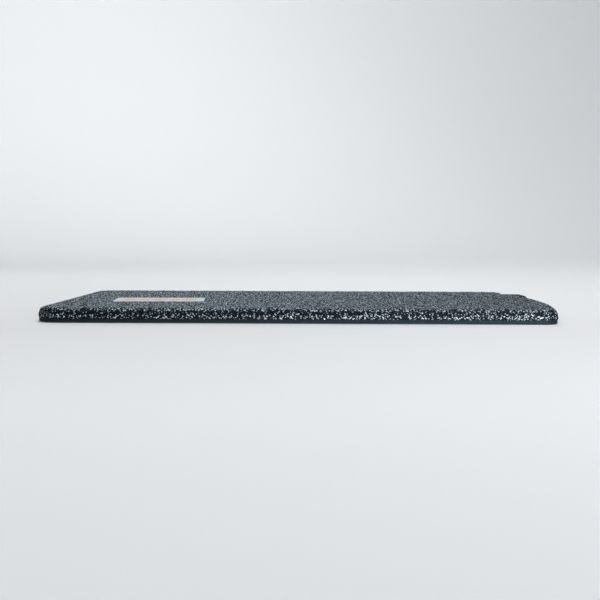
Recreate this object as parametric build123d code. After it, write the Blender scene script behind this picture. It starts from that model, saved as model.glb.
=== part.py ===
from build123d import *
import math
import os

# Slant board for calf stretches. A pressed steel deck hides three nested stands, which
# fold flat into its underside. One stand at a time swings down and holds the arched toe
# end up, and each one sets its own angle. All sizes are in millimetres. The origin is on
# the floor, under the middle of the edge strip's heel end, which is the line that the board
# tilts on. +X runs to the toe end, +Y to the strap's side, +Z up.

# Deck pressing
deck_length = 420.5  # straight heel end to the crown of the arched toe end
deck_width = 317.5
deck_height = 11.5
deck_sheet = 2.0
deck_bend = 4.5  # outer radius of the bend into the skirt
heel_corner = 21.5
toe_corner = 14.0
toe_arch = 14.0  # how far the crown stands past the two ends of the arch

seat_gap = 0.05  # between pieces that are pressed or glued together
overrun = 1.0  # that a cutter runs past what it cuts

# Rubber edge strip: a foot under the skirt, and a lip inside it
strip_foot = 3.4
strip_width = 4.5
strip_lip = 3.6
strip_round = 1.5

# Folded channel that makes the rails and the heel ribs
rail_width = 14.4
rail_depth = 8.5
rail_sheet = 1.5
rail_bend = 2.0  # outer radius
rail_nose = 12.0  # past the hinge
rail_nose_round = 4.0
rail_slope = 12.0
rail_end_height = 3.0
side_room = 1.6  # from the outermost rails to the lip of the strip
side_rail_margin = 20.0  # from the heel end
rib_count = 2
rib_end_gap = 0.8

# Hinge
hinge_setback = 60.0  # from the crown of the arch
barrel_gap = 0.15  # from a leg's barrel to the deck
rod_diameter = 5.0
rod_play = 0.05  # each side, in a rail
rod_tail = 1.0
cap_diameter = 8.0
cap_thickness = 0.8
cap_play = 0.02
washer_diameter = 8.4
washer_thickness = 1.0
washer_play = 0.15  # on both faces and round the rod

# Stands, each cut from one plate
deck_angles = {"low": 15.0, "middle": 22.5, "high": 30.0}
stand_swing = 100.0
stand_plate = 6.0
leg_width = 18.0
foot_bar = 20.0
stand_outer_corner = 12.0
stand_inner_corner = 8.0
knuckle_radius = 4.35
stop_face = 2.2
bore_play = 0.08

# Rubber foot, a channel pushed on the end of a stand
foot_cover = 9.0
foot_wall = 1.2
foot_end = 2.5
foot_play = 0.05
foot_round = 1.0
foot_corner_gap = 2.0

# Magnets that hold a folded stand
magnet_diameter = 9.0
magnet_thickness = 1.2
magnet_edge = 1.0  # from the inner edge of the foot bar
magnet_inset = 30.0  # from the inner face of the leg

# Carry strap, a webbing loop at the toe end
strap_inset = 43.75  # from the deck's long edge
strap_width = 30.0
strap_thickness = 1.6
strap_reach = 17.0  # past the arch
strap_top = 10.8
strap_floor_gap = 0.4
strap_tail = 32.0
strap_loop_flat = 0.02  # straight left between the two bends of the loop
notch_side = 2.0
notch_depth = 8.0
notch_ease = 1.0  # from the back of the notch to where the strap starts to rise
clamp_length = 20.0
clamp_thickness = 2.0
clamp_corner = 2.5
clamp_setback = 15.5  # centre, from the back of the notch
stud_diameter = 4.0
stud_spacing = 16.0
stud_tail = 0.3
stud_play = 0.15
nut_across_flats = 7.0
nut_thickness = 2.8

# Label plate on the deck
label_length = 78.0
label_width = 68.0
label_thickness = 0.3
label_corner = 3.0
label_from_heel = 83.0
label_off_middle = -26.0
label_turn = 3.5

# Places worked out from the sizes above
heel_x = -strip_width / 2
crown_x = heel_x + deck_length
skin_under = deck_height - deck_sheet
hinge_x = crown_x - hinge_setback
hinge_z = skin_under - barrel_gap - knuckle_radius
arch_radius = ((deck_width / 2) ** 2 + toe_arch**2) / (2 * toe_arch)
side_gap = washer_thickness + 2 * washer_play
lane_pitch = leg_width + 2 * side_gap + rail_width
outer_rail_y = deck_width / 2 - strip_width - side_room - rail_width / 2
stand_names = list(deck_angles)
strap_y = deck_width / 2 - strap_inset


def arch_x(y):
    """The toe end's edge, at a distance y from the middle of the deck."""
    return crown_x - arch_radius + math.sqrt(arch_radius**2 - y**2)


notch_back = arch_x(strap_y) - notch_depth
clamp_x = notch_back - clamp_setback


def stand_length(name):
    """Hinge to floor, so that the deck stands at the stand's own angle when it is open."""
    rise = math.tan(math.radians(deck_angles[name]))
    lean = math.radians(stand_swing - 90)
    return ((hinge_x - heel_x) * rise + hinge_z) / (math.cos(lean) - rise * math.sin(lean))


def rail_y(lane):
    """Middle of a rail. Lane 0 is the innermost, and each stand's leg runs outside its own."""
    return outer_rail_y - (len(stand_names) - lane) * lane_pitch


def leg_y(name):
    """Middle of the leg of a stand."""
    return rail_y(stand_names.index(name)) + lane_pitch / 2


def deck_outline(inset=0.0):
    """Plan of the deck: straight heel end, arched toe end, rounded corners."""
    half = deck_width / 2
    toe_x = crown_x - toe_arch
    edge = Polyline((toe_x, half), (heel_x, half), (heel_x, -half), (toe_x, -half))
    arch = ThreePointArc((toe_x, -half), (crown_x, 0), (toe_x, half))
    plan = make_face([*edge.edges(), arch])
    corners = plan.vertices().sort_by(Axis.X)
    plan = fillet(corners[:2], heel_corner)
    plan = fillet(plan.vertices().sort_by(Axis.X)[-2:], toe_corner)
    return offset(plan, -inset) if inset else plan


def strap_notch():
    """Cutter for the gap that the strap comes out of."""
    width = strap_width + 2 * notch_side
    return Pos(notch_back, strap_y, 0) * Box(
        crown_x - notch_back + overrun,
        width,
        2 * (deck_height + overrun),
        align=(Align.MIN, Align.CENTER, Align.CENTER),
    )


def deck_plate():
    """Pressing with a skirt all round, open where the strap comes out."""
    skin = Pos(0, 0, strip_foot) * extrude(deck_outline(), deck_height - strip_foot)
    skin = fillet(skin.edges().group_by(Axis.Z)[-1], deck_bend)
    inside = Pos(0, 0, strip_foot) * extrude(deck_outline(deck_sheet), skin_under - strip_foot)
    inside = fillet(inside.edges().group_by(Axis.Z)[-1], deck_bend - deck_sheet)
    return skin - inside - strap_notch()


def edge_strip():
    """Rubber strip that carries the board on the floor, hooked behind the skirt."""
    foot = extrude(deck_outline(), strip_foot)
    foot = fillet(foot.edges().group_by(Axis.Z)[0], strip_round)
    lip = Pos(0, 0, strip_foot) * extrude(deck_outline(deck_sheet + seat_gap), strip_lip)
    hollow = extrude(deck_outline(strip_width), strip_foot + strip_lip)
    return foot + lip - hollow - strap_notch()


def channel(length):
    """Folded channel along +X from the origin, its back up at z = 0."""
    outer = Rectangle(rail_width, rail_depth, align=(Align.CENTER, Align.MAX))
    outer = fillet(outer.vertices().group_by(Axis.Y)[-1], rail_bend)
    room = Rectangle(rail_width - 2 * rail_sheet, rail_depth, align=(Align.CENTER, Align.MAX))
    room = fillet(room.vertices().group_by(Axis.Y)[-1], rail_bend - rail_sheet)
    return extrude(Plane.YZ * (outer - Pos(0, -rail_sheet) * room), length)


def rail(start_x, y):
    """Rail from start_x to the hinge: it stiffens the deck, and its cheeks carry the rod."""
    length = hinge_x + rail_nose - start_x
    outline = Polyline(
        (0, 0),
        (0, -rail_end_height),
        (rail_slope, -rail_depth),
        (length, -rail_depth),
        (length, 0),
        close=True,
    )
    side = make_face(outline.edges())
    nose = side.vertices().sort_by(Axis.X)[-2:].sort_by(Axis.Y)[0]
    side = fillet([nose], rail_nose_round)
    side = extrude(Plane.XZ * side, rail_width, both=True)
    rod_hole = Pos(hinge_x - start_x, 0, hinge_z - skin_under) * Rot(90, 0, 0) * Cylinder(
        rod_diameter / 2 + rod_play, 2 * rail_width
    )
    return Pos(start_x, y, skin_under) * (channel(length) & side) - Pos(start_x, y, skin_under) * rod_hole


def heel_rib(x):
    """Cross rib between the outermost rails."""
    length = 2 * (outer_rail_y - rail_width / 2 - rib_end_gap)
    return Pos(x, 0, skin_under) * Rot(0, 0, 90) * Pos(-length / 2, 0, 0) * channel(length)


def rib_places():
    """Even places between the edge strip and the foot of the folded high stand."""
    start = heel_x + strip_width
    room = hinge_x - stand_length("high") - start
    return [start + room * (index + 0.5) / rib_count for index in range(rib_count)]


def stand(name):
    """U-shaped plate with a knuckle on each leg. A flat on the knuckle meets the deck as a stop."""
    half = leg_y(name) + leg_width / 2
    reach = stand_length(name) - foot_end - foot_play
    plate = Pos(-reach / 2, 0) * Rectangle(reach, 2 * half)
    plate = fillet(plate.vertices().sort_by(Axis.X)[:2], stand_outer_corner)
    room_length = reach - foot_bar
    room = Pos(-room_length / 2 + overrun, 0) * Rectangle(
        room_length + 2 * overrun, 2 * (half - leg_width)
    )
    room = fillet(room.vertices().sort_by(Axis.X)[:2], stand_inner_corner)
    solid = Pos(0, 0, -stand_plate / 2) * extrude(plate - room, stand_plate)
    for side in (-1, 1):
        solid += Pos(0, side * leg_y(name), 0) * knuckle()
    bore = Rot(90, 0, 0) * Cylinder(rod_diameter / 2 + bore_play, 4 * half)
    return Pos(hinge_x, 0, hinge_z) * (solid - bore)


def knuckle():
    """Barrel across a leg's end, with the stop's flat face on its lower corner."""
    flat = math.radians(90 - stand_swing)
    start = (knuckle_radius * math.cos(flat), knuckle_radius * math.sin(flat))
    end = (start[0] + stop_face * math.sin(flat), start[1] - stop_face * math.cos(flat))
    lobe = make_face(Polyline((0, 0), start, end, (0, end[1]), close=True).edges())
    return extrude(Plane.XZ * (Circle(knuckle_radius) + lobe), leg_width / 2, both=True)


def stand_foot(name):
    """Rubber channel on the end of a stand."""
    half = leg_y(name) + leg_width / 2 - stand_outer_corner - foot_corner_gap
    outer_height = stand_plate + 2 * (foot_play + foot_wall)
    depth = foot_cover + foot_play + foot_end
    outer = Pos(depth / 2, 0) * Rectangle(depth, outer_height)
    outer = fillet(outer.vertices().sort_by(Axis.X)[:2], foot_round)
    slot = Pos(foot_end + depth / 2, 0) * Rectangle(depth, stand_plate + 2 * foot_play)
    body = extrude(Plane.XZ * (outer - slot), half, both=True)
    return Pos(hinge_x - stand_length(name), 0, hinge_z) * body


def catch_magnets(name):
    """Two flat magnets on the deck over the foot bar of a folded stand."""
    inner_x = hinge_x - stand_length(name) + foot_end + foot_play + foot_bar
    x = inner_x - magnet_edge - magnet_diameter / 2
    y = leg_y(name) - leg_width / 2 - magnet_inset
    z = skin_under - magnet_thickness / 2
    return [Pos(x, side * y, z) * Cylinder(magnet_diameter / 2, magnet_thickness) for side in (-1, 1)]


def pivot_rod():
    """One rod through every rail and every leg."""
    length = 2 * (outer_rail_y + rail_width / 2 + rod_tail)
    return Pos(hinge_x, 0, hinge_z) * Rot(90, 0, 0) * Cylinder(rod_diameter / 2, length)


def ring(y, thickness, outer_diameter, play):
    """Flat ring round the rod, its middle at y."""
    section = Circle(outer_diameter / 2) - Circle(rod_diameter / 2 + play)
    return Pos(hinge_x, y, hinge_z) * extrude(Plane.XZ * section, thickness / 2, both=True)


def rod_caps():
    """Push-on caps at the two ends of the rod."""
    y = outer_rail_y + (rail_width + cap_thickness) / 2 + seat_gap
    return [ring(side * y, cap_thickness, cap_diameter, cap_play) for side in (-1, 1)]


def hinge_washers():
    """Nylon washers on both faces of every leg."""
    off_middle = (leg_width + washer_thickness) / 2 + washer_play
    return [
        ring(side * (leg_y(name) + face * off_middle), washer_thickness, washer_diameter, washer_play)
        for name in stand_names
        for side in (-1, 1)
        for face in (-1, 1)
    ]


def strap_stud_places():
    """The two studs that hold the strap."""
    return [(clamp_x, strap_y + side * stud_spacing / 2) for side in (-1, 1)]


def stud_holes():
    """Cutter for the two studs, with their play."""
    radius = stud_diameter / 2 + stud_play
    return [Pos(x, y, 0) * Cylinder(radius, 2 * deck_height) for x, y in strap_stud_places()]


def carry_strap():
    """Webbing folded into a loop outside the notch, its two tails one on the other inside."""
    half = strap_thickness / 2
    upper_z = skin_under - seat_gap - half
    lower_z = upper_z - strap_thickness - seat_gap
    top_z = strap_top - half
    bottom_z = strap_floor_gap + half
    tip_x = arch_x(strap_y) + strap_reach - half
    tail_x = clamp_x - strap_tail / 2 + strap_thickness
    bend = (top_z - bottom_z - strap_loop_flat) / 2
    ease = 2 * strap_thickness
    route = FilletPolyline(
        (tail_x, upper_z),
        (notch_back + notch_ease, upper_z),
        (notch_back + notch_ease + ease, top_z),
        (tip_x, top_z),
        (tip_x, bottom_z),
        (notch_back + 3 * ease, bottom_z),
        (notch_back - ease, lower_z),
        (tail_x, lower_z),
        radius=(ease, ease, bend, bend, ease, ease),
    )
    profile = trace(route, strap_thickness)
    solid = extrude(Plane.XZ * profile, strap_width / 2, both=True)
    return Pos(0, strap_y, 0) * solid - stud_holes()


def strap_clamp():
    """Steel plate that presses the strap's tails to the deck."""
    top = skin_under - 3 * seat_gap - 2 * strap_thickness
    plate = Pos(clamp_x, strap_y, top - clamp_thickness / 2) * Box(
        clamp_length, strap_width, clamp_thickness
    )
    return fillet(plate.edges().filter_by(Axis.Z), clamp_corner) - stud_holes()


def nut_top():
    """Height of the face where the nuts meet the clamp."""
    return skin_under - 3 * seat_gap - 2 * strap_thickness - clamp_thickness


def strap_studs():
    """Studs welded under the deck."""
    length = skin_under - nut_top() + nut_thickness + stud_tail
    return [
        Pos(x, y, skin_under - length / 2) * Cylinder(stud_diameter / 2, length)
        for x, y in strap_stud_places()
    ]


def strap_nuts():
    """Nuts on the studs."""
    section = RegularPolygon(nut_across_flats / 2, 6, major_radius=False) - Circle(
        stud_diameter / 2 + seat_gap
    )
    nut = extrude(section, nut_thickness)
    return [Pos(x, y, nut_top() - nut_thickness) * nut for x, y in strap_stud_places()]


def label_plate():
    """Thin plate stuck on the deck near the heel end, a little turned."""
    plan = RectangleRounded(label_length, label_width, label_corner)
    plate = Rot(0, 0, label_turn) * extrude(plan, label_thickness)
    return Pos(heel_x + label_from_heel, label_off_middle, deck_height) * plate


def rail_starts():
    """Where each lane's rail begins: it stays inside the foot bar of the stand outside it."""
    inside = [
        hinge_x - stand_length(name) + foot_end + foot_bar + rail_slope / 2 for name in stand_names
    ]
    return inside + [heel_x + side_rail_margin]


def save(name, shape):
    """Writes one node, from a solid or from a list of separate solids."""
    if isinstance(shape, list):
        shape = Compound([solid for item in shape for solid in item.solids()])
    export_step(shape, f"parts/{name}.step")


os.makedirs("parts", exist_ok=True)
save("deck_plate", deck_plate())
save("edge_strip", edge_strip())
save("label_plate", label_plate())

for lane, (lane_name, start) in enumerate(zip(["inner", "middle", "outer", "side"], rail_starts())):
    save(f"{lane_name}_rail_front", rail(start, -rail_y(lane)))
    save(f"{lane_name}_rail_rear", rail(start, rail_y(lane)))

for index, x in enumerate(rib_places()):
    save(f"heel_rib_{index + 1}", heel_rib(x))

save("pivot_rod", pivot_rod())
save("rod_caps", rod_caps())
save("hinge_washers", hinge_washers())

for name in stand_names:
    save(f"{name}_stand", stand(name))
    save(f"{name}_stand_foot", stand_foot(name))
    save(f"{name}_stand_magnets", catch_magnets(name))

save("carry_strap", carry_strap())
save("strap_clamp", strap_clamp())
save("strap_studs", strap_studs())
save("strap_nuts", strap_nuts())
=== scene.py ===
import math
from math import cos, radians, sin

import bmesh
import bpy
from mathutils import Matrix, Vector, noise


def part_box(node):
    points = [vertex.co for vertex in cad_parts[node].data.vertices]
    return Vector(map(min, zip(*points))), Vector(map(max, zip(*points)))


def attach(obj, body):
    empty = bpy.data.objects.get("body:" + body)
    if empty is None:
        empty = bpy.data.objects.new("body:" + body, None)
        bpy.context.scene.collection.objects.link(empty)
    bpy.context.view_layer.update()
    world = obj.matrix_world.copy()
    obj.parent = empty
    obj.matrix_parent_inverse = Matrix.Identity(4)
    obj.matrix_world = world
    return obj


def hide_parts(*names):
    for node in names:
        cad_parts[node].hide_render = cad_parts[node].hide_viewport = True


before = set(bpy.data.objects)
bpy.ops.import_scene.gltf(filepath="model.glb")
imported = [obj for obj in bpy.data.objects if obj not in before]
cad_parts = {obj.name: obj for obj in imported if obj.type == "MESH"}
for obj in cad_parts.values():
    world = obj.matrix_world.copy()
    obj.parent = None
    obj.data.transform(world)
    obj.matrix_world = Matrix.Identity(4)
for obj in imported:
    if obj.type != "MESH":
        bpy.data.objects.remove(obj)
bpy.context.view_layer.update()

# Deck coat. The pressed steel deck is sprayed with a thick anti-slip coat, a near-black
# binder full of pale grit. It covers the top and the skirt down to the rubber strip, and
# stands up in rounded grains. Under the deck the steel has a thin black primer only.
deck_lo, deck_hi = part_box("deck_plate")
label_lo, label_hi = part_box("label_plate")
strap_lo, strap_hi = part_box("carry_strap")
BEND = 0.0045
HEEL_CORNER = 0.0215
TOE_CORNER = 0.014
TOE_ARCH = 0.014
COAT_BASE = 0.0001
COAT_MESH = 0.00125
GRAIN_HEIGHT = 0.0005
GRAIN_SPACING = 0.0026
GRAIN_FILL = 0.42
GRAIN_CONTRAST = 0.8
SMALL_LUMP_HEIGHT = 0.6
SMALL_LUMPS_FINER = 2.1
GRAINS_PER_METRE = 1250
BAND_SCALE = 80
SKIRT_NORMAL = 0.7
SKIRT_GRAIN = 0.45
LABEL_GRAIN = 0.3
BINDER_DARK = (0.002, 0.0035, 0.005)
BINDER = (0.006, 0.0095, 0.0125)
BINDER_TO = 0.76
GRIT_DULL = (0.22, 0.26, 0.29)
GRIT_BRIGHT = (0.53, 0.61, 0.66)
GRIT_FROM = 0.82
SWELL = 0.00025
SWELL_HEIGHT = 0.0046
SWELL_REACH = 0.0026
LABEL_LENGTH = 0.078
LABEL_WIDTH = 0.068
LABEL_TURN = radians(3.5)
NOTCH_SIDE = 0.002
NOTCH_DEPTH = 0.008
arch_radius = (deck_hi.y**2 + TOE_ARCH**2) / (2 * TOE_ARCH)
label_place = Matrix.Translation((label_lo + label_hi) / 2) @ Matrix.Rotation(LABEL_TURN, 4, "Z")
strap_y = (strap_lo.y + strap_hi.y) / 2
notch_back = deck_hi.x - arch_radius + math.sqrt(arch_radius**2 - strap_y**2) - NOTCH_DEPTH


def piece(name, bm, body, material, smooth=True):
    """Turns a bmesh into an object at the origin that rides on a body."""
    mesh = bpy.data.meshes.new(name)
    for face in bm.faces:
        face.smooth = smooth
    bm.to_mesh(mesh)
    bm.free()
    obj = bpy.data.objects.new(name, mesh)
    bpy.context.scene.collection.objects.link(obj)
    mesh.materials.append(material)
    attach(obj, body)
    return obj


def shader(name, color, roughness, metallic=0.0, specular=0.5):
    """New material with its shader's plain values set, and its node tree."""
    mat = bpy.data.materials.new(name)
    mat.use_nodes = True
    tree = mat.node_tree
    bsdf = tree.nodes["Principled BSDF"]
    bsdf.inputs["Base Color"].default_value = (*color, 1)
    bsdf.inputs["Roughness"].default_value = roughness
    bsdf.inputs["Metallic"].default_value = metallic
    bsdf.inputs["Specular IOR Level"].default_value = specular
    return mat, tree, bsdf


def add(tree, kind, inputs=None, **settings):
    """New node with settings and inputs. An input that is a socket is linked."""
    node = tree.nodes.new("ShaderNode" + kind)
    for key, value in settings.items():
        setattr(node, key, value)
    for key, value in (inputs or {}).items():
        if isinstance(value, bpy.types.NodeSocket):
            tree.links.new(value, node.inputs[key])
        else:
            node.inputs[key].default_value = value
    return node


def object_space(tree, scale=(1, 1, 1), turn=(0, 0, 0)):
    """Object coordinates in metres, stretched and turned."""
    where = add(tree, "TexCoord").outputs["Object"]
    return add(tree, "Mapping", {"Vector": where, "Scale": scale, "Rotation": turn}).outputs["Vector"]


def ramp(tree, factor, *stops):
    """Color ramp from (place, color) stops. A plain number is a grey."""
    node = add(tree, "ValToRGB", {"Fac": factor})
    band = node.color_ramp
    while len(band.elements) < len(stops):
        band.elements.new(0.5)
    for element, (place, color) in zip(band.elements, stops):
        element.position = place
        element.color = (color, color, color, 1) if isinstance(color, (int, float)) else (*color, 1)
    return node.outputs["Color"]


def bump(tree, height, distance, strength=1.0, under=None):
    """Bump node, on top of another one where given."""
    inputs = {"Height": height, "Distance": distance, "Strength": strength}
    if under:
        inputs["Normal"] = under
    return add(tree, "Bump", inputs).outputs["Normal"]


def powder_coat(name, low, high, grain, roughness, edge=0.0004):
    """Baked paint with a fine peel, faint cloudy patches and eased edges."""
    mat, tree, bsdf = shader(name, low, roughness, specular=0.4)
    space = object_space(tree)
    clouds = add(tree, "TexNoise", {"Vector": space, "Scale": 45, "Detail": 6, "Roughness": 0.65})
    peel = add(tree, "TexNoise", {"Vector": space, "Scale": grain, "Detail": 3, "Roughness": 0.55})
    specks = add(tree, "TexNoise", {"Vector": space, "Scale": 3 * grain, "Detail": 2})
    blend = add(tree, "Math", {0: clouds.outputs["Fac"], 1: specks.outputs["Fac"]}, operation="MULTIPLY")
    tree.links.new(ramp(tree, blend.outputs["Value"], (0.15, low), (0.4, high)), bsdf.inputs["Base Color"])
    worn = ramp(tree, clouds.outputs["Fac"], (0.3, roughness - 0.1), (0.7, roughness + 0.1))
    tree.links.new(worn, bsdf.inputs["Roughness"])
    eased = add(tree, "Bevel", {"Radius": edge}, samples=6).outputs["Normal"]
    tree.links.new(bump(tree, peel.outputs["Fac"], 0.00006, 0.7, eased), bsdf.inputs["Normal"])
    return mat


def paint(material, *names):
    """Gives CAD nodes a material."""
    for name in names:
        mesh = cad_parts[name].data
        mesh.materials.clear()
        mesh.materials.append(material)


def deck_block():
    """Closed solid with the deck's outer form, its lower face well below the skirt."""
    toe_x = deck_hi.x - TOE_ARCH
    bm = bmesh.new()
    corner = bm.verts.new((toe_x, deck_lo.y, deck_hi.z))
    arch = bmesh.ops.spin(
        bm,
        geom=[corner],
        cent=(deck_hi.x - arch_radius, 0, 0),
        axis=(0, 0, 1),
        angle=2 * math.asin(deck_hi.y / arch_radius),
        steps=48,
    )
    end = arch["geom_last"][0]
    heel = [bm.verts.new((deck_lo.x, y, deck_hi.z)) for y in (deck_hi.y, deck_lo.y)]
    for pair in ((end, heel[0]), heel, (heel[1], corner)):
        bm.edges.new(pair)
    for pair, radius in ((heel, HEEL_CORNER), ((corner, end), TOE_CORNER)):
        bmesh.ops.bevel(
            bm, geom=list(pair), offset=radius, segments=16, profile=0.5, material=-1, affect="VERTICES"
        )
    top = bmesh.ops.contextual_create(bm, geom=bm.edges[:])["faces"]
    lower = bmesh.ops.extrude_face_region(bm, geom=top)
    sunk = [v for v in lower["geom"] if isinstance(v, bmesh.types.BMVert)]
    bmesh.ops.translate(bm, verts=sunk, vec=(0, 0, -2 * (deck_hi.z - deck_lo.z)))
    bmesh.ops.recalc_face_normals(bm, faces=bm.faces)
    rim = [e for e in bm.edges if all(v.co.z > deck_hi.z - 1e-6 for v in e.verts)]
    bmesh.ops.bevel(
        bm, geom=rim, offset=BEND, segments=6, profile=0.5, material=-1, affect="EDGES", clamp_overlap=False
    )
    return bm


def even_mesh(bm, size):
    """The same solid, remeshed into even faces."""
    obj = bpy.data.objects.new("remeshed", bpy.data.meshes.new("remeshed"))
    bm.to_mesh(obj.data)
    bm.free()
    bpy.context.scene.collection.objects.link(obj)
    remesh = obj.modifiers.new("even mesh", "REMESH")
    remesh.mode = "VOXEL"
    remesh.voxel_size = size
    graph = bpy.context.evaluated_depsgraph_get()
    even = bmesh.new()
    even.from_mesh(obj.evaluated_get(graph).to_mesh())
    bpy.data.objects.remove(obj)
    return even


def cut(bm, place, normal, clear=False):
    """Cuts a mesh along a plane, and clears what lies beyond where asked."""
    geom = bm.verts[:] + bm.edges[:] + bm.faces[:]
    bmesh.ops.bisect_plane(bm, geom=geom, plane_co=place, plane_no=normal, clear_outer=clear)


def grit(place, normal):
    """Height of the coat at a point: lumps of two sizes, lower under the label and on the skirt.

    The coat swells a little along the skirt, where it runs down and dries.
    """
    small_lump = noise.noise(place * SMALL_LUMPS_FINER / GRAIN_SPACING)
    lump = noise.noise(place / GRAIN_SPACING) + SMALL_LUMP_HEIGHT * small_lump
    height = GRAIN_HEIGHT * min(1, max(0, GRAIN_FILL + GRAIN_CONTRAST * lump))
    if normal.z < SKIRT_NORMAL:
        run_down = max(0, 1 - ((place.z - SWELL_HEIGHT) / SWELL_REACH) ** 2)
        return COAT_BASE + SWELL * run_down + SKIRT_GRAIN * height
    off = label_place.inverted() @ place
    under_label = abs(off.x) < LABEL_LENGTH / 2 and abs(off.y) < LABEL_WIDTH / 2
    return COAT_BASE + height * (LABEL_GRAIN if under_label else 1)


coat = even_mesh(deck_block(), COAT_MESH)
notch_lo = strap_lo.y - NOTCH_SIDE
notch_hi = strap_hi.y + NOTCH_SIDE
cut(coat, (0, 0, deck_lo.z), (0, 0, -1), clear=True)
cut(coat, (notch_back, 0, 0), (1, 0, 0))
cut(coat, (0, notch_lo, 0), (0, 1, 0))
cut(coat, (0, notch_hi, 0), (0, 1, 0))
over_notch = []
for face in coat.faces:
    middle = face.calc_center_median()
    if middle.x > notch_back and notch_lo < middle.y < notch_hi:
        over_notch.append(face)
bmesh.ops.delete(coat, geom=over_notch, context="FACES")
coat.normal_update()
for vert in coat.verts:
    if not vert.is_boundary:
        vert.co += vert.normal * grit(vert.co, vert.normal)

coat_mat, tree, bsdf = shader("grit coat", BINDER, 0.6, specular=0.12)
bsdf.inputs["Specular Tint"].default_value = (0.72, 0.88, 1.0, 1)
space = object_space(tree)
grains = add(tree, "TexVoronoi", {"Vector": space, "Scale": GRAINS_PER_METRE, "Randomness": 1})
mixed = add(tree, "SeparateColor", {"Color": grains.outputs["Color"]})
fine = add(tree, "TexNoise", {"Vector": space, "Scale": 2600, "Detail": 3, "Roughness": 0.6})
# Each grain is pale grit or dark binder by its random value. Painted shade: fewer grains are
# pale grit on the bend and along the lower rim, which darkens these two bands of the skirt.
height = add(tree, "SeparateXYZ", {"Vector": object_space(tree, (1, 1, BAND_SCALE))}).outputs["Z"]
# Painted shade bands: less pale grit at these heights darkens the bend and the lower rim.
painted_shade_bands = ramp(tree, height, (0.29, 0.09), (0.36, 0.0), (0.50, 0.0), (0.57, 0.1), (0.75, 0.1), (0.80, 0.0))
grit_minus_painted_shade = add(tree, "Math", {0: mixed.outputs["Red"], 1: painted_shade_bands}, operation="SUBTRACT")
kind = grit_minus_painted_shade.outputs["Value"]
stops = ((0.0, BINDER_DARK), (BINDER_TO, BINDER), (GRIT_FROM, GRIT_DULL), (1.0, GRIT_BRIGHT))
tree.links.new(ramp(tree, kind, *stops), bsdf.inputs["Base Color"])
roughness = ramp(tree, kind, (0.0, 0.8), (BINDER_TO, 0.65), (GRIT_FROM, 0.28))
tree.links.new(roughness, bsdf.inputs["Roughness"])
tree.links.new(ramp(tree, kind, (BINDER_TO, 0.0), (GRIT_FROM, 0.85)), bsdf.inputs["Metallic"])
round_top = ramp(tree, grains.outputs["Distance"], (0.0, 1.0), (0.8, 0.0))
lumps = bump(tree, round_top, 0.0003, 0.9)
tree.links.new(bump(tree, fine.outputs["Fac"], 0.0001, 0.8, lumps), bsdf.inputs["Normal"])
grit_coat = piece("grit_coat", coat, "deck", coat_mat)
paint(powder_coat("deck primer", (0.010, 0.012, 0.014), (0.022, 0.026, 0.030), 900, 0.45), "deck_plate")

# Edge strip. A smooth black rubber strip that is pressed up behind the skirt and carries
# the board on the floor. It is extruded, with a faint sheen and a little dust.
strip_mat, tree, bsdf = shader("edge rubber", (0.006, 0.010, 0.013), 0.6, specular=0.15)
bsdf.inputs["Specular Tint"].default_value = (0.75, 0.9, 1.0, 1)
dust = add(tree, "TexNoise", {"Vector": object_space(tree), "Scale": 90, "Detail": 6, "Roughness": 0.7})
drawn = add(tree, "TexNoise", {"Vector": object_space(tree, (1, 1, 30)), "Scale": 160, "Detail": 3})
dusty = ramp(tree, dust.outputs["Fac"], (0.3, (0.005, 0.010, 0.014)), (0.75, (0.012, 0.020, 0.026)))
tree.links.new(dusty, bsdf.inputs["Base Color"])
tree.links.new(ramp(tree, dust.outputs["Fac"], (0.3, 0.55), (0.7, 0.75)), bsdf.inputs["Roughness"])
tree.links.new(bump(tree, drawn.outputs["Fac"], 0.00003, 0.7), bsdf.inputs["Normal"])
paint(strip_mat, "edge_strip")

# Label. A thin silver foil plate with a rolled rim, stuck on the coat a little askew. It
# carries a plain motif in raised gold foil: three lozenges with bars between them, and a
# fine line along each edge.
LABEL_CORNER = 0.003
LABEL_RIM = 0.00012
GOLD_RISE = 0.00004
LOZENGE_PLACE = 0.34 * LABEL_LENGTH
LOZENGE_LENGTH = 0.19 * LABEL_LENGTH
LOZENGE_WIDTH = 0.62 * LABEL_WIDTH
BAR_PLACE = 0.17 * LABEL_LENGTH
BAR_LENGTH = 0.10 * LABEL_LENGTH
BAR_WIDTH = 0.44 * LABEL_WIDTH
LINE_PLACE = 0.42 * LABEL_WIDTH
LINE_LENGTH = 0.86 * LABEL_LENGTH
LINE_WIDTH = 0.012 * LABEL_WIDTH
label_thickness = label_hi.z - label_lo.z


def prism(bm, points, low, high, corner=0.0, rounded=None, rim=0.0):
    """Upright prism over plan points, with all or some corners rounded and its upper rim bevelled."""
    verts = [bm.verts.new((x, y, high)) for x, y in points]
    for pair in zip(verts, verts[1:] + verts[:1]):
        bm.edges.new(pair)
    wires = {edge for vert in verts for edge in vert.link_edges}
    if corner:
        chosen = verts if rounded is None else [verts[index] for index in rounded]
        bmesh.ops.bevel(
            bm, geom=chosen, offset=corner, segments=8, profile=0.5, material=-1, affect="VERTICES"
        )
        wires = {edge for edge in bm.edges if edge.is_wire}
    top = bmesh.ops.contextual_create(bm, geom=list(wires))["faces"]
    lower = bmesh.ops.extrude_face_region(bm, geom=top)
    sunk = [v for v in lower["geom"] if isinstance(v, bmesh.types.BMVert)]
    bmesh.ops.translate(bm, verts=sunk, vec=(0, 0, low - high))
    if rim:
        edges = list(top[0].edges)
        bmesh.ops.bevel(bm, geom=edges, offset=rim, segments=2, profile=0.5, material=-1, affect="EDGES")
    bmesh.ops.recalc_face_normals(bm, faces=bm.faces)


def box_points(middle_x, middle_y, length, width):
    """Corners of a rectangle in plan."""
    signs = ((-1, -1), (1, -1), (1, 1), (-1, 1))
    return [(middle_x + a * length / 2, middle_y + b * width / 2) for a, b in signs]


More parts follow.
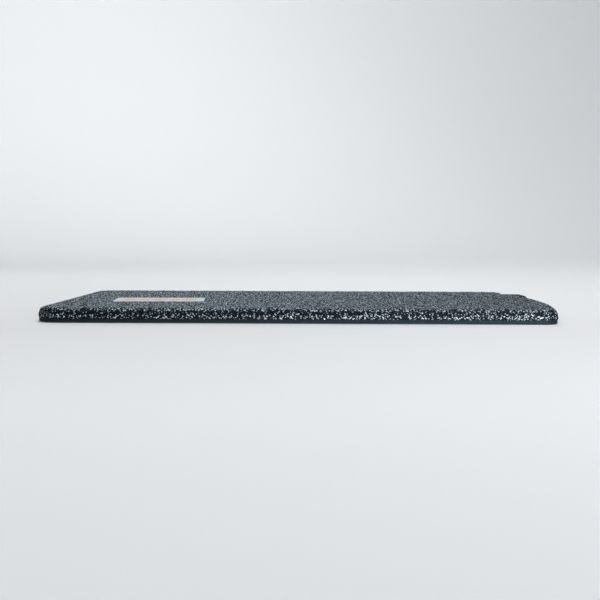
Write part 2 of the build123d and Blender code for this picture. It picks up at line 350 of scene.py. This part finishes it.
def lozenge_points(middle_x, length, width):
    """Corners of a lozenge in plan."""
    return [
        (middle_x - length / 2, 0),
        (middle_x, -width / 2),
        (middle_x + length / 2, 0),
        (middle_x, width / 2),
    ]


def foil(name, low, high, roughness, metallic):
    """Brushed metal foil, its lines along X."""
    mat, tree, bsdf = shader(name, high, roughness, metallic=metallic)
    lines = add(tree, "TexNoise", {"Vector": object_space(tree, (0.02, 1, 1)), "Scale": 2200, "Detail": 3})
    stains = add(tree, "TexNoise", {"Vector": object_space(tree), "Scale": 70, "Detail": 5})
    blend = add(tree, "Math", {0: lines.outputs["Fac"], 1: stains.outputs["Fac"]}, operation="ADD")
    half = add(tree, "Math", {0: blend.outputs["Value"], 1: 0.5}, operation="MULTIPLY")
    tree.links.new(ramp(tree, half.outputs["Value"], (0.35, low), (0.65, high)), bsdf.inputs["Base Color"])
    smears = ramp(tree, stains.outputs["Fac"], (0.3, roughness - 0.08), (0.7, roughness + 0.12))
    tree.links.new(smears, bsdf.inputs["Roughness"])
    tree.links.new(bump(tree, lines.outputs["Fac"], 0.00002, 0.6), bsdf.inputs["Normal"])
    return mat


bm = bmesh.new()
label_outline = box_points(0, 0, LABEL_LENGTH, LABEL_WIDTH)
prism(bm, label_outline, -label_thickness / 2, label_thickness / 2, LABEL_CORNER, rim=LABEL_RIM)
bm.transform(label_place)
silver_mat = foil("silver foil", (0.30, 0.33, 0.36), (0.50, 0.54, 0.58), 0.42, metallic=0.85)
label = piece("label", bm, "deck", silver_mat, False)
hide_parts("label_plate")

bm = bmesh.new()
gold_low = label_thickness / 2
gold_high = gold_low + GOLD_RISE
for side in (-1, 0, 1):
    lozenge = lozenge_points(side * LOZENGE_PLACE, LOZENGE_LENGTH, LOZENGE_WIDTH)
    prism(bm, lozenge, gold_low, gold_high)
for side in (-1, 1):
    prism(bm, box_points(side * BAR_PLACE, 0, BAR_LENGTH, BAR_WIDTH), gold_low, gold_high)
    prism(bm, box_points(0, side * LINE_PLACE, LINE_LENGTH, LINE_WIDTH), gold_low, gold_high)
bm.transform(label_place)
gold_mat = foil("gold foil", (0.30, 0.20, 0.03), (0.50, 0.36, 0.08), 0.38, metallic=0.5)
motif = piece("label_motif", bm, "deck", gold_mat, False)

# Rails and ribs. Folded channels with a fine black powder coat. Short rippled weld beads
# hold them to the deck wherever no folded stand lies beside them.
BEAD_SIZE = 0.0011
BEAD_RIPPLE = 0.0014
BEAD_LENGTH = 0.022
BEAD_SCALLOP = 0.18
BEAD_WOBBLE = 0.12
WOBBLES_PER_METRE = 900
RIB_BEADS = 4
RAIL_SLOPE = 0.012
LANES = ("inner", "middle", "outer", "side")
STANDS = ("low", "middle", "high")
skin_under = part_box("inner_rail_front")[1].z
rail_mat = powder_coat("fine powder coat", (0.008, 0.009, 0.010), (0.020, 0.022, 0.024), 1500, 0.5)


def bead(bm, middle, turn):
    """Weld bead in the corner between the deck and a wall, its length along X before the turn."""
    made = bmesh.ops.create_uvsphere(bm, u_segments=12, v_segments=48, radius=BEAD_SIZE)["verts"]
    bmesh.ops.rotate(bm, verts=made, matrix=Matrix.Rotation(radians(90), 3, "Y"))
    bmesh.ops.scale(bm, verts=made, vec=(BEAD_LENGTH / 2 / BEAD_SIZE, 1, 1))
    for vert in made:
        scallop = 1 - BEAD_SCALLOP * (1 - abs(sin(math.pi * vert.co.x / BEAD_RIPPLE)))
        wobble = 1 + BEAD_WOBBLE * noise.noise((vert.co + middle) * WOBBLES_PER_METRE)
        vert.co.yz *= scallop * wobble
    bmesh.ops.rotate(bm, verts=made, matrix=Matrix.Rotation(turn, 3, "Z"))
    bmesh.ops.translate(bm, verts=made, vec=middle)


bm = bmesh.new()
for lane, lane_name in enumerate(LANES):
    low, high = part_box(f"{lane_name}_rail_rear")
    start = low.x + RAIL_SLOPE
    end = high.x - 2 * RAIL_SLOPE if lane == 0 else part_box(f"{STANDS[lane - 1]}_stand_foot")[0].x
    count = max(1, int((end - start) / (3 * BEAD_LENGTH)))
    for index in range(count):
        x = start + (end - start) * (index + 0.5) / count
        for side in (-1, 1):
            bead(bm, Vector((x, side * low.y, skin_under)), 0)
for rib in ("heel_rib_1", "heel_rib_2"):
    low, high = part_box(rib)
    for x in (low.x, high.x):
        for index in range(RIB_BEADS):
            y = low.y + (high.y - low.y) * (index + 0.5) / RIB_BEADS
            bead(bm, Vector((x, y, skin_under)), radians(90))
bmesh.ops.recalc_face_normals(bm, faces=bm.faces)
welds = piece("weld_beads", bm, "deck", rail_mat)
paint(rail_mat, "heel_rib_1", "heel_rib_2")
paint(rail_mat, *[f"{lane}_rail_{place}" for lane in LANES for place in ("front", "rear")])

# Stands. Each is one thick plate with a satin charcoal powder coat, a little rougher and
# lighter than the rails, and each ends in a ribbed rubber foot that is pushed on its bar.
FOOT_END = 0.0025
FOOT_ROUND = 0.001
FOOT_SLOT = 0.0061
FOOT_GROOVE = 0.0004
GROOVE_PITCH = 0.0017
GROOVE_COUNT = 3
stand_mat = powder_coat(
    "satin powder coat", (0.012, 0.014, 0.016), (0.034, 0.038, 0.042), 1100, 0.42, edge=0.0006
)
rubber_mat, tree, bsdf = shader("foot rubber", (0.010, 0.011, 0.012), 0.75, specular=0.25)
scuffs = add(tree, "TexNoise", {"Vector": object_space(tree), "Scale": 140, "Detail": 7, "Roughness": 0.7})
matt = add(tree, "TexNoise", {"Vector": object_space(tree), "Scale": 2400, "Detail": 2})
scuffed = ramp(tree, scuffs.outputs["Fac"], (0.35, (0.007, 0.008, 0.009)), (0.7, (0.030, 0.031, 0.032)))
tree.links.new(scuffed, bsdf.inputs["Base Color"])
tree.links.new(ramp(tree, scuffs.outputs["Fac"], (0.3, 0.62), (0.7, 0.88)), bsdf.inputs["Roughness"])
tree.links.new(bump(tree, matt.outputs["Fac"], 0.00004, 0.8), bsdf.inputs["Normal"])


def foot_profile(low, high):
    """Outline of a foot in X and Z: a channel open to +X, with grooves across its closed end."""
    middle = (low.z + high.z) / 2
    edge = GROOVE_PITCH / 4
    points = [(high.x, low.z), (low.x, low.z)]
    for index in range(GROOVE_COUNT):
        place = middle + (index - (GROOVE_COUNT - 1) / 2) * GROOVE_PITCH
        points += [(low.x, place - edge), (low.x + FOOT_GROOVE, place - edge / 2)]
        points += [(low.x + FOOT_GROOVE, place + edge / 2), (low.x, place + edge)]
    points += [(low.x, high.z), (high.x, high.z), (high.x, middle + FOOT_SLOT / 2)]
    points += [(low.x + FOOT_END, middle + FOOT_SLOT / 2), (low.x + FOOT_END, middle - FOOT_SLOT / 2)]
    return points + [(high.x, middle - FOOT_SLOT / 2)]


for name in STANDS:
    low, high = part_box(f"{name}_stand_foot")
    bm = bmesh.new()
    closed_end = (1, 2 + 4 * GROOVE_COUNT)
    prism(bm, foot_profile(low, high), -high.y, -low.y, FOOT_ROUND, rounded=closed_end)
    bm.transform(Matrix.Rotation(radians(90), 4, "X"))
    foot = piece(f"{name}_rubber_foot", bm, f"{name}_prop", rubber_mat, False)
    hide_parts(f"{name}_stand_foot")
    paint(stand_mat, f"{name}_stand")

# Hinge and magnets. A bright drawn rod with pressed caps runs through every rail and leg,
# nylon washers keep the legs apart, and nickelled magnets catch the folded stands.
def bare_metal(name, low, high, roughness, stretch, lines=1800):
    """Bare or plated metal with drawing marks along one axis, faint stains and eased edges."""
    mat, tree, bsdf = shader(name, high, roughness, metallic=1.0)
    marks = add(tree, "TexNoise", {"Vector": object_space(tree, stretch), "Scale": lines, "Detail": 3})
    stains = add(tree, "TexNoise", {"Vector": object_space(tree), "Scale": 180, "Detail": 5})
    tree.links.new(ramp(tree, stains.outputs["Fac"], (0.35, low), (0.65, high)), bsdf.inputs["Base Color"])
    smears = ramp(tree, marks.outputs["Fac"], (0.3, roughness - 0.08), (0.7, roughness + 0.12))
    tree.links.new(smears, bsdf.inputs["Roughness"])
    eased = add(tree, "Bevel", {"Radius": 0.0002}, samples=6).outputs["Normal"]
    tree.links.new(bump(tree, marks.outputs["Fac"], 0.00002, 0.6, eased), bsdf.inputs["Normal"])
    return mat


steel_mat = bare_metal("drawn steel", (0.36, 0.36, 0.37), (0.56, 0.56, 0.57), 0.26, (1, 0.03, 1))
nickel_mat = bare_metal("nickel plate", (0.52, 0.50, 0.47), (0.66, 0.63, 0.59), 0.16, (1, 1, 1), 900)
nylon_mat, tree, bsdf = shader("natural nylon", (0.70, 0.68, 0.62), 0.45, specular=0.4)
bsdf.inputs["Subsurface Weight"].default_value = 0.25
bsdf.inputs["Subsurface Radius"].default_value = (0.001, 0.0009, 0.0007)
cloud = add(tree, "TexNoise", {"Vector": object_space(tree), "Scale": 300, "Detail": 4})
aged = ramp(tree, cloud.outputs["Fac"], (0.3, (0.60, 0.57, 0.50)), (0.7, (0.74, 0.73, 0.68)))
tree.links.new(aged, bsdf.inputs["Base Color"])
tree.links.new(bump(tree, cloud.outputs["Fac"], 0.00002, 0.5), bsdf.inputs["Normal"])
paint(steel_mat, "pivot_rod", "rod_caps")
paint(nickel_mat, *[f"{name}_stand_magnets" for name in STANDS])
paint(nylon_mat, "hinge_washers")

# Carry strap. Black polypropylene webbing in a diagonal rib weave, folded into a flat loop
# outside the notch. Its two tails lie one on the other under the clamp.
STRAP_THICKNESS = 0.0016
STRAP_SEAT = 0.00005
STRAP_EASE = 0.0032
STRAP_RISE = 0.001
STRAP_STEP = 0.00045
WEAVE_HEIGHT = 0.0001
WEAVE_PITCH = 0.0015
RIB_SHARE = 0.55
PICK_SHARE = 0.35
EDGE_THIN = 0.4


def strap_line(corners, bends, y):
    """Wire along the middle of the strap, its corners rounded, that holds its own length so far."""
    bm = bmesh.new()
    run = bm.verts.layers.float.new("run")
    verts = [bm.verts.new((x, y, z)) for x, z in corners]
    for pair in zip(verts, verts[1:]):
        bm.edges.new(pair)
    for corner, radius in zip(verts[1:-1], bends):
        back, ahead = [(edge.other_vert(corner).co - corner.co) for edge in corner.link_edges]
        reach = radius / math.tan(back.angle(ahead) / 2)
        bmesh.ops.bevel(
            bm, geom=[corner], offset=reach, segments=12, profile=0.5, material=-1, affect="VERTICES"
        )
    for edge in bm.edges[:]:
        cuts = int(edge.calc_length() / STRAP_STEP)
        if cuts:
            bmesh.ops.subdivide_edges(bm, edges=[edge], cuts=cuts)
    ends = [v for v in bm.verts if len(v.link_edges) == 1]
    vert, edge = max(ends, key=lambda v: v.co.z), None
    while edge is None or len(vert.link_edges) == 2:
        edge = [e for e in vert.link_edges if e != edge][0]
        after = edge.other_vert(vert)
        after[run] = vert[run] + edge.calc_length()
        vert = after
    return bm, run


def weave(run, across):
    """Depth of the webbing's face: diagonal ribs that turn at the middle, cut by the picks."""
    rib = sin(math.pi * (run + abs(across)) / WEAVE_PITCH)
    pick = cos(3 * math.pi * across / WEAVE_PITCH)
    return WEAVE_HEIGHT * (RIB_SHARE * (rib * rib - 1) + PICK_SHARE * (abs(pick) - 1))


half = STRAP_THICKNESS / 2
upper_z = skin_under - STRAP_SEAT - half
lower_z = upper_z - STRAP_THICKNESS - STRAP_SEAT
top_z = strap_hi.z - half
bottom_z = strap_lo.z + half
tip_x = strap_hi.x - half
# The loop's two bends stop just short of each other.
loop_bend = (top_z - bottom_z) / 2.01
corners = [
    (strap_lo.x, upper_z),
    (notch_back + STRAP_RISE, upper_z),
    (notch_back + STRAP_RISE + STRAP_EASE, top_z),
    (tip_x, top_z),
    (tip_x, bottom_z),
    (notch_back + 3 * STRAP_EASE, bottom_z),
    (notch_back - STRAP_EASE, lower_z),
    (strap_lo.x, lower_z),
]
bends = (STRAP_EASE, STRAP_EASE, loop_bend, loop_bend, STRAP_EASE, STRAP_EASE)
bm, run = strap_line(corners, bends, strap_lo.y)
strap_width = strap_hi.y - strap_lo.y
swept = bmesh.ops.extrude_edge_only(bm, edges=bm.edges[:])["geom"]
far_side = [v for v in swept if isinstance(v, bmesh.types.BMVert)]
bmesh.ops.translate(bm, verts=far_side, vec=(0, strap_width, 0))
across_edges = [e for e in bm.edges if abs(e.verts[0].co.y - e.verts[1].co.y) > strap_width / 2]
bmesh.ops.subdivide_edges(bm, edges=across_edges, cuts=int(strap_width / STRAP_STEP), use_grid_fill=True)
bmesh.ops.recalc_face_normals(bm, faces=bm.faces)
bm.normal_update()
for vert in bm.verts:
    vert.co += vert.normal * half
bmesh.ops.solidify(bm, geom=bm.faces[:], thickness=STRAP_THICKNESS)
bmesh.ops.recalc_face_normals(bm, faces=bm.faces)
bm.normal_update()
for vert in bm.verts:
    across = vert.co.y - strap_y
    near_edge = max(0, 1 - (strap_width / 2 - abs(across)) / STRAP_THICKNESS)
    vert.co += vert.normal * (weave(vert[run], across) - half * EDGE_THIN * near_edge**2)

webbing_mat, tree, bsdf = shader("black webbing", (0.004, 0.005, 0.006), 0.75, specular=0.2)
threads = add(tree, "TexNoise", {"Vector": object_space(tree, (1, 3, 1)), "Scale": 2600, "Detail": 3})
fade = add(tree, "TexNoise", {"Vector": object_space(tree), "Scale": 120, "Detail": 5})
dyed = ramp(tree, fade.outputs["Fac"], (0.3, (0.003, 0.004, 0.005)), (0.7, (0.009, 0.010, 0.012)))
tree.links.new(dyed, bsdf.inputs["Base Color"])
tree.links.new(ramp(tree, threads.outputs["Fac"], (0.3, 0.55), (0.7, 0.85)), bsdf.inputs["Roughness"])
tree.links.new(bump(tree, threads.outputs["Fac"], 0.00005, 0.8), bsdf.inputs["Normal"])
strap = piece("webbing_strap", bm, "deck", webbing_mat)
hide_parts("carry_strap")

# Strap clamp. A zinc-plated plate pressed to the deck by two nuts on welded studs. The
# studs have a rolled thread, and the nuts are chamfered hexagons.
THREAD_PITCH = 0.0007
THREAD_STEPS = 24
THREAD_DEPTH = 0.0003
NUT_PLAY = 0.00005
NUT_CHAMFER = 0.0004
zinc_mat = bare_metal("zinc plate", (0.42, 0.43, 0.44), (0.62, 0.63, 0.62), 0.3, (1, 1, 1), 700)
paint(zinc_mat, "strap_clamp")


def lathe(profile, x, y, steps):
    """Closed ring turned round an upright axis from (radius, height) points."""
    bm = bmesh.new()
    verts = [bm.verts.new((x + radius, y, z)) for radius, z in profile]
    edges = [bm.edges.new(pair) for pair in zip(verts, verts[1:] + verts[:1])]
    bmesh.ops.spin(
        bm, geom=edges, cent=(x, y, 0), axis=(0, 0, 1), angle=math.tau, steps=steps, use_merge=True
    )
    bmesh.ops.recalc_face_normals(bm, faces=bm.faces)
    return bm


def trim(bm, place, normal):
    """Cuts off what lies beyond a plane, and closes the mesh there."""
    geom = bm.verts[:] + bm.edges[:] + bm.faces[:]
    made = bmesh.ops.bisect_plane(bm, geom=geom, plane_co=place, plane_no=normal, clear_outer=True)
    rim = [e for e in made["geom_cut"] if isinstance(e, bmesh.types.BMEdge)]
    bmesh.ops.edgeloop_fill(bm, edges=rim)


def threaded_stud(x, y, radius, low, high):
    """Round bar with a rolled thread: one tooth swept up a helix, then cut off square."""
    bm = bmesh.new()
    start = low - 2 * THREAD_PITCH
    turns = int((high - start) / THREAD_PITCH) + 2
    tooth = [(radius - THREAD_DEPTH, 0), (radius, THREAD_PITCH / 2), (radius - THREAD_DEPTH, THREAD_PITCH)]
    verts = [bm.verts.new((x + reach, y, start + z)) for reach, z in tooth]
    edges = [bm.edges.new(pair) for pair in zip(verts, verts[1:])]
    bmesh.ops.spin(
        bm,
        geom=edges,
        cent=(x, y, 0),
        axis=(0, 0, 1),
        dvec=(0, 0, THREAD_PITCH / THREAD_STEPS),
        angle=math.tau * turns,
        steps=THREAD_STEPS * turns,
    )
    bmesh.ops.remove_doubles(bm, verts=bm.verts, dist=THREAD_DEPTH / 100)
    trim(bm, (x, y, high), (0, 0, 1))
    trim(bm, (x, y, low), (0, 0, -1))
    bmesh.ops.recalc_face_normals(bm, faces=bm.faces)
    return bm


def hex_nut(x, y, bore, flat, low, high):
    """Chamfered and countersunk ring, cut to a hexagon by six planes."""
    corner = flat / cos(radians(30)) + NUT_PLAY
    drop = (corner - flat) * math.tan(radians(30))
    profile = [
        (bore, low + NUT_CHAMFER),
        (bore + NUT_CHAMFER, low),
        (flat, low),
        (corner, low + drop),
        (corner, high - drop),
        (flat, high),
        (bore + NUT_CHAMFER, high),
        (bore, high - NUT_CHAMFER),
    ]
    bm = lathe(profile, x, y, 72)
    for side in range(6):
        out = Vector((cos(radians(60 * side)), sin(radians(60 * side)), 0))
        trim(bm, Vector((x, y, 0)) + out * flat, out)
    return bm


stud_lo, stud_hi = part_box("strap_studs")
nut_lo, nut_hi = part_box("strap_nuts")
stud_x = (stud_lo.x + stud_hi.x) / 2
stud_radius = (stud_hi.x - stud_lo.x) / 2
nut_flat = (nut_hi.y - nut_lo.y - (stud_hi.y - stud_lo.y - 2 * stud_radius)) / 2
for index, stud_y in enumerate((stud_lo.y + stud_radius, stud_hi.y - stud_radius)):
    bm = threaded_stud(stud_x, stud_y, stud_radius, stud_lo.z, stud_hi.z)
    stud = piece(f"threaded_stud_{index + 1}", bm, "deck", zinc_mat, False)
    bm = hex_nut(stud_x, stud_y, stud_radius + NUT_PLAY, nut_flat, nut_lo.z, nut_hi.z)
    nut = piece(f"hex_nut_{index + 1}", bm, "deck", zinc_mat, False)
    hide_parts("strap_studs")
    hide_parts("strap_nuts")

# Floor and light. A pale matt table top that runs up into a pale backdrop, under wide soft
# lamps. It glows a little away from the board, where the lamps don't reach, and is clear
# from below and to shadow rays, so that the underside can be lit and seen.
TABLE_REACH = 5
BACKDROP_HEIGHT = 6
BACKDROP_BEND = 3.0
SKY_COLOR = (0.90, 0.96, 1.0, 1)
SKY_LIGHT = 0.10
SKY_SEEN = 0.5
LENS = 75
SENSOR = 36
CAMERA_PLACE = (0.20405, -1.1259, 0.0673)
CAMERA_DROP = radians(2.885)
CAMERA_ROLL = radians(0.245)


def seen(tree):
    """1 for what the camera, a reflection or a clear material sees, 0 for light on the board."""
    path = add(tree, "LightPath")
    rays = path.outputs["Is Camera Ray"]
    for kind in ("Is Glossy Ray", "Is Transmission Ray"):
        rays = add(tree, "Math", {0: rays, 1: path.outputs[kind]}, operation="MAXIMUM").outputs["Value"]
    return rays


floor_mat, tree, bsdf = shader("pale table", (0.87, 0.885, 0.90), 0.6, specular=0.2)
bsdf.inputs["Emission Color"].default_value = (0.92, 0.96, 1.0, 1)
# Places on the table, from 0 at its left or front edge to 1 at its right or back edge.
share = 0.5 / TABLE_REACH
floor_space = add(tree, "SeparateXYZ", {"Vector": object_space(tree, (share, share, share))})
along, back = [
    add(tree, "Math", {0: floor_space.outputs[axis], 1: 0.5}, operation="ADD").outputs["Value"]
    for axis in ("X", "Y")
]
sides = ramp(tree, along, (0.0, 0.5), (0.38, 0.0), (0.66, 0.0), (1.0, 0.5))
depth = ramp(
    tree,
    back,
    (0.0, 0.5),
    (0.35, 0.16),
    (0.435, 0.16),
    (0.475, 0.03),
    (0.59, 0.09),
    (0.8, 0.18),
)
paler = add(tree, "Math", {0: sides, 1: depth}, operation="MAXIMUM").outputs["Value"]
glow = add(tree, "Math", {0: seen(tree), 1: paler}, operation="MULTIPLY").outputs["Value"]
tree.links.new(glow, bsdf.inputs["Emission Strength"])
clear = add(tree, "BsdfTransparent").outputs["BSDF"]
from_below = add(tree, "NewGeometry").outputs["Backfacing"]
shadow = add(tree, "LightPath").outputs["Is Shadow Ray"]
see_through = add(tree, "Math", {0: from_below, 1: shadow}, operation="MAXIMUM").outputs["Value"]
blend = add(tree, "MixShader", {0: see_through, 1: bsdf.outputs["BSDF"], 2: clear}).outputs["Shader"]
tree.links.new(blend, tree.nodes["Material Output"].inputs["Surface"])
bm = bmesh.new()
bmesh.ops.create_grid(bm, x_segments=1, y_segments=1, size=TABLE_REACH)
far_edge = [e for e in bm.edges if all(v.co.y > 0 for v in e.verts)]
wall = bmesh.ops.extrude_edge_only(bm, edges=far_edge)["geom"]
wall_top = [v for v in wall if isinstance(v, bmesh.types.BMVert)]
bmesh.ops.translate(bm, verts=wall_top, vec=(0, 0, BACKDROP_HEIGHT))
bmesh.ops.bevel(
    bm,
    geom=far_edge,
    offset=BACKDROP_BEND,
    segments=24,
    profile=0.5,
    material=-1,
    affect="EDGES",
    clamp_overlap=False,
)
for face in bm.faces:
    face.smooth = True
table_mesh = bpy.data.meshes.new("table")
bm.to_mesh(table_mesh)
bm.free()
table = bpy.data.objects.new("table", table_mesh)
bpy.context.scene.collection.objects.link(table)
table_mesh.materials.append(floor_mat)

scene = bpy.context.scene
scene.view_settings.view_transform = "Standard"
world = bpy.data.worlds.new("studio")
scene.world = world
world.use_nodes = True
tree = world.node_tree
sky = tree.nodes["Background"]
sky.inputs["Color"].default_value = SKY_COLOR
direction = add(tree, "SeparateXYZ", {"Vector": add(tree, "TexCoord").outputs["Generated"]})
upper = add(tree, "Math", {0: direction.outputs["Z"], 1: 0.0}, operation="GREATER_THAN")
light = add(tree, "Math", {0: upper.outputs["Value"], 1: SKY_LIGHT}, operation="MULTIPLY")
backdrop = add(tree, "Math", {0: seen(tree), 1: SKY_SEEN}, operation="MULTIPLY")
strength = add(tree, "Math", {0: light.outputs["Value"], 1: backdrop.outputs["Value"]}, operation="MAXIMUM")
tree.links.new(strength.outputs["Value"], sky.inputs["Strength"])


def lamp(name, place, aim, size, power, spread=180):
    """Soft rectangular lamp, its beam as wide as the spread in degrees."""
    light = bpy.data.lights.new(name, "AREA")
    light.shape = "RECTANGLE"
    light.size, light.size_y = size
    light.energy = power
    light.spread = radians(spread)
    obj = bpy.data.objects.new(name, light)
    obj.location = place
    obj.rotation_euler = (Vector(aim) - Vector(place)).to_track_quat("-Z", "Y").to_euler()
    obj.visible_camera = False
    scene.collection.objects.link(obj)


lamp("lamp_above", (0.7, 0.1, 2.6), (0.4, 0.0, 0), (2.6, 2.2), 49)
lamp("lamp_back", (-0.5, 2.0, 1.3), (0.0, 0, 0), (2.8, 0.9), 3, spread=100)
lamp("lamp_wall", (-1.0, 2.1, 2.6), (-0.6, 4.6, 2.0), (2.4, 1.0), 48)
lamp("lamp_right", (0.85, -1.9, 0.12), (0.5, 0, 0.006), (0.6, 0.12), 1.6, spread=26)
lamp("lamp_below", (0.21, 0, -1.2), (0.21, 0, 0), (0.35, 0.25), 22)

camera = bpy.data.objects.new("camera", bpy.data.cameras.new("camera"))
camera.data.lens = LENS
camera.data.sensor_width = SENSOR
camera.data.clip_start = 0.01
camera.matrix_world = (
    Matrix.Translation(CAMERA_PLACE)
    @ Matrix.Rotation(radians(90) - CAMERA_DROP, 4, "X")
    @ Matrix.Rotation(CAMERA_ROLL, 4, "Z")
)
scene.collection.objects.link(camera)
scene.camera = camera
